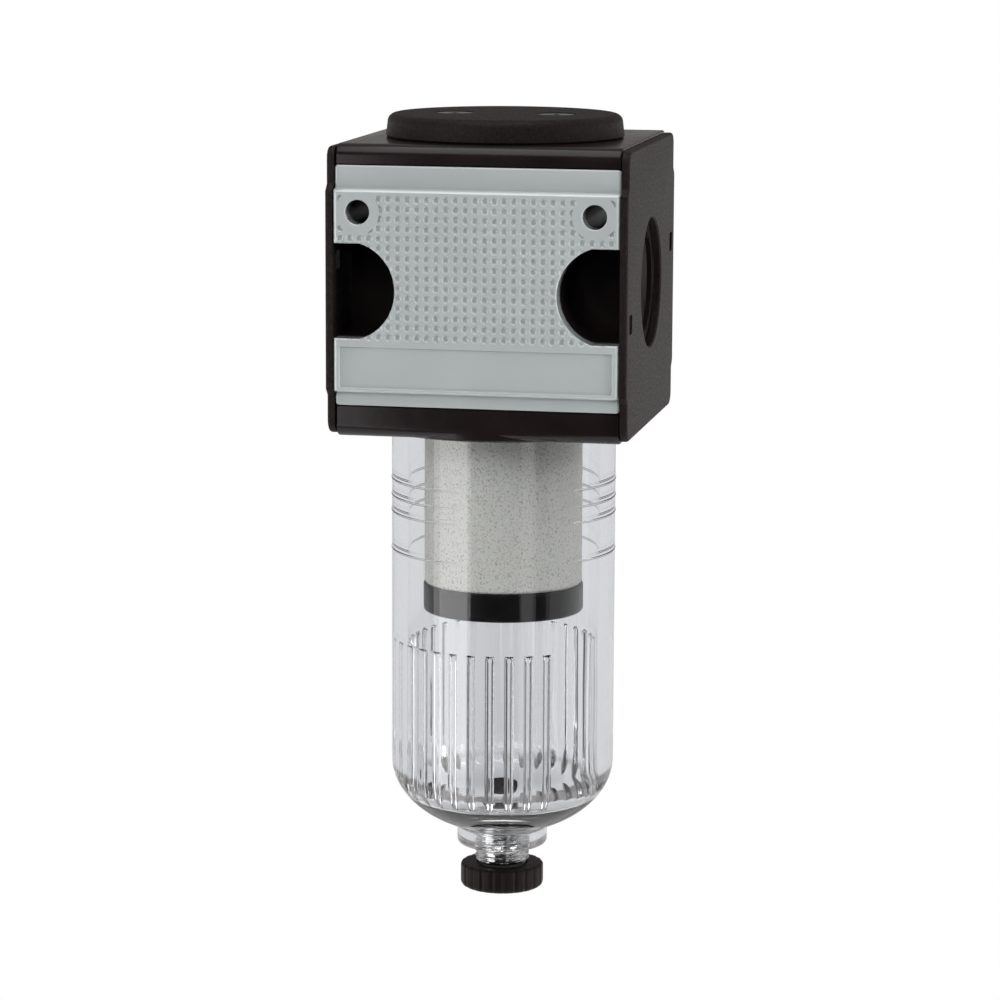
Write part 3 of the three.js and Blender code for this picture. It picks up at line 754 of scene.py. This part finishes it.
# ---------------------------------------------------------------- carried-over nodes

def dress_inner_nodes():
    finishes = {
        "cap_o_ring": RUBBER, "bowl_o_ring": RUBBER, "drain_o_ring": SILICONE, "drain_washer": RUBBER,
        "deflector_gasket": RUBBER, "element_top_seal": RUBBER, "element_bottom_seal": RUBBER,
        "swirl_deflector": MOULDED, "element_bolt": ZINC, "baffle_nut": ZINC,
    }
    for name, material in finishes.items():
        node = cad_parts[name]
        node.data.materials.clear()
        node.data.materials.append(material)
        if name.endswith("o_ring"):
            weld = node.modifiers.new("weld", "WELD")
            weld.merge_threshold = 1e-6
            node.modifiers.new("smooth", "SUBSURF").render_levels = 2
            node.data.shade_smooth()


# ---------------------------------------------------------------- studio

def gradient(tree, source, *stops):
    """A colour ramp over a value that runs from -1 to 1; stops are at 0 to 1."""
    spread = tree.nodes.new("ShaderNodeMath")
    spread.operation = "MULTIPLY_ADD"
    spread.inputs[1].default_value = 0.5
    spread.inputs[2].default_value = 0.5
    tree.links.new(source, spread.inputs[0])
    ramp = tree.nodes.new("ShaderNodeValToRGB")
    elements = ramp.color_ramp.elements
    while len(elements) < len(stops):
        elements.new(0.5)
    for element, (position, colour) in zip(elements, stops):
        element.position, element.color = position, (*colour, 1)
    tree.links.new(spread.outputs["Value"], ramp.inputs["Fac"])
    return ramp.outputs["Color"]


# (name, azimuth from the front towards the right, elevation, distance, width, height, watts,
# whether it shows in reflections: True; None if only through the bowl; False if in neither)
LAMPS = (
    ("left_softbox", -45, -4, 0.9, 0.62, 0.95, 3.6, True),
    ("right_softbox", 84, -4, 1.0, 0.9, 0.95, 1.0, True),
    ("right_strip", 37, -4, 1.0, 0.26, 0.8, 0.33, True),
    ("top_softbox", -10, 75, 0.9, 0.8, 0.9, 5.0, True),
    ("left_fill", -86, -8, 0.9, 0.4, 0.6, 15.0, False),
    ("right_fill", 84, -8, 0.9, 0.4, 0.6, 17.0, False),
    ("front_fill", -4, 30, 1.2, 0.8, 0.5, 7.0, None),
    ("right_high_fill", 62, 32, 1.1, 0.5, 0.5, 4.5, None),
)
EYE = {"lens": 133.364, "place": (0.12404, -0.66072, 0.07103),
       "yaw": 0.1940408, "pitch": 0.1692639, "roll": 0.0044031}


def studio():
    floor = bpy.data.objects.new("floor", bpy.data.meshes.new("floor"))
    size, level = 0.32, -0.34
    corners = [(-size, -size, level), (size, -size, level), (size, size, level), (-size, size, level)]
    floor.data.from_pydata(corners, [], [[0, 1, 2, 3]])
    bpy.context.scene.collection.objects.link(floor)
    f = Finish("pale_floor")
    f.set(Specular_IOR_Level=0.1, Emission_Color=(1.0, 1.0, 1.0, 1))
    f.into("Base Color", f.ramp(f.noise(600), (0.3, 0.6), (0.7, 0.62)))
    f.into("Roughness", f.ramp(f.noise(300), (0.3, 0.9), (0.7, 1.0)))
    seen = f.nodes.new("ShaderNodeLightPath")
    f.into("Emission Strength", seen.outputs["Is Camera Ray"])
    floor.data.materials.append(f.material)

    world = bpy.data.worlds.new("studio")
    bpy.context.scene.world = world
    world.use_nodes = True
    nodes, links = world.node_tree.nodes, world.node_tree.links
    back = nodes["Background"]
    place = nodes.new("ShaderNodeTexCoord")
    facing = nodes.new("ShaderNodeVectorMath")
    facing.operation = "DOT_PRODUCT"
    facing.inputs[1].default_value = (0.19, -0.96, 0.15)
    links.new(place.outputs["Generated"], facing.inputs[0])
    front = gradient(world.node_tree, facing.outputs["Value"],
                     (0.0, (0.70, 0.70, 0.71)), (0.42, (0.68, 0.68, 0.69)), (0.52, (0.45, 0.45, 0.45)),
                     (0.70, (0.06, 0.06, 0.06)), (1.0, (0.02, 0.02, 0.02)))
    parts = nodes.new("ShaderNodeSeparateXYZ")
    links.new(place.outputs["Generated"], parts.inputs["Vector"])
    height = gradient(world.node_tree, parts.outputs["Z"],
                      (0.0, (0.5, 0.5, 0.5)), (0.25, (0.65, 0.65, 0.65)), (0.40, (1, 1, 1)),
                      (0.49, (1, 1, 1)), (0.54, (0.33, 0.31, 0.30)), (1.0, (0.45, 0.43, 0.41)))
    shade = nodes.new("ShaderNodeMix")
    shade.data_type, shade.blend_type = "RGBA", "MULTIPLY"
    shade.inputs["Factor"].default_value = 1.0
    links.new(front, shade.inputs["A"])
    links.new(height, shade.inputs["B"])
    seen = nodes.new("ShaderNodeLightPath")
    pick = nodes.new("ShaderNodeMix")
    pick.data_type = "RGBA"
    links.new(seen.outputs["Is Camera Ray"], pick.inputs["Factor"])
    links.new(shade.outputs["Result"], pick.inputs["A"])
    pick.inputs["B"].default_value = (1.0, 1.0, 1.0, 1)
    links.new(pick.outputs["Result"], back.inputs["Color"])
    back.inputs["Strength"].default_value = 1.0

    centre = Vector((0, AXIS[1] * MM, -0.04))
    for name, azimuth, elevation, distance, width, height, watts, mirrored in LAMPS:
        lamp = bpy.data.lights.new(name, "AREA")
        lamp.shape = "RECTANGLE"
        lamp.size, lamp.size_y = width, height
        lamp.energy = watts
        a, e = math.radians(azimuth), math.radians(elevation)
        away = Vector((math.sin(a) * math.cos(e), -math.cos(a) * math.cos(e), math.sin(e)))
        holder = bpy.data.objects.new(name, lamp)
        holder.location = centre + away * distance
        holder.rotation_euler = away.to_track_quat("Z", "Y").to_euler()
        holder.visible_glossy = bool(mirrored)
        holder.visible_transmission = mirrored is not False
        bpy.context.scene.collection.objects.link(holder)


def camera():
    lens = bpy.data.cameras.new("camera")
    lens.lens, lens.sensor_width = EYE["lens"], 36.0
    eye = bpy.data.objects.new("camera", lens)
    yaw, pitch, roll = EYE["yaw"], EYE["pitch"], EYE["roll"]
    forward = Vector((-math.sin(yaw) * math.cos(pitch), math.cos(yaw) * math.cos(pitch), -math.sin(pitch)))
    right = Vector((math.cos(yaw), math.sin(yaw), 0))
    up = right.cross(forward)
    right_rolled = right * math.cos(roll) + up * math.sin(roll)
    up_rolled = up * math.cos(roll) - right * math.sin(roll)
    eye.matrix_world = Matrix((right_rolled, up_rolled, -forward)).transposed().to_4x4()
    eye.location = EYE["place"]
    lens.clip_end = 20
    bpy.context.scene.collection.objects.link(eye)
    bpy.context.scene.camera = eye


camera()
studio()
housing()
port_thread("port_thread_left", -22.9, -13.2)
port_thread("port_thread_right", 10.5, 22.9)
end_plate("plate_left", -1)
end_plate("plate_right", 1)
cover("cover_front", "front_cover", -1)
cover("cover_rear", "rear_cover", 1)
top_cap()
filter_element()
baffle()
bowl()
drain()
drain_knob()
dress_inner_nodes()

bpy.context.scene.view_settings.view_transform = "Standard"
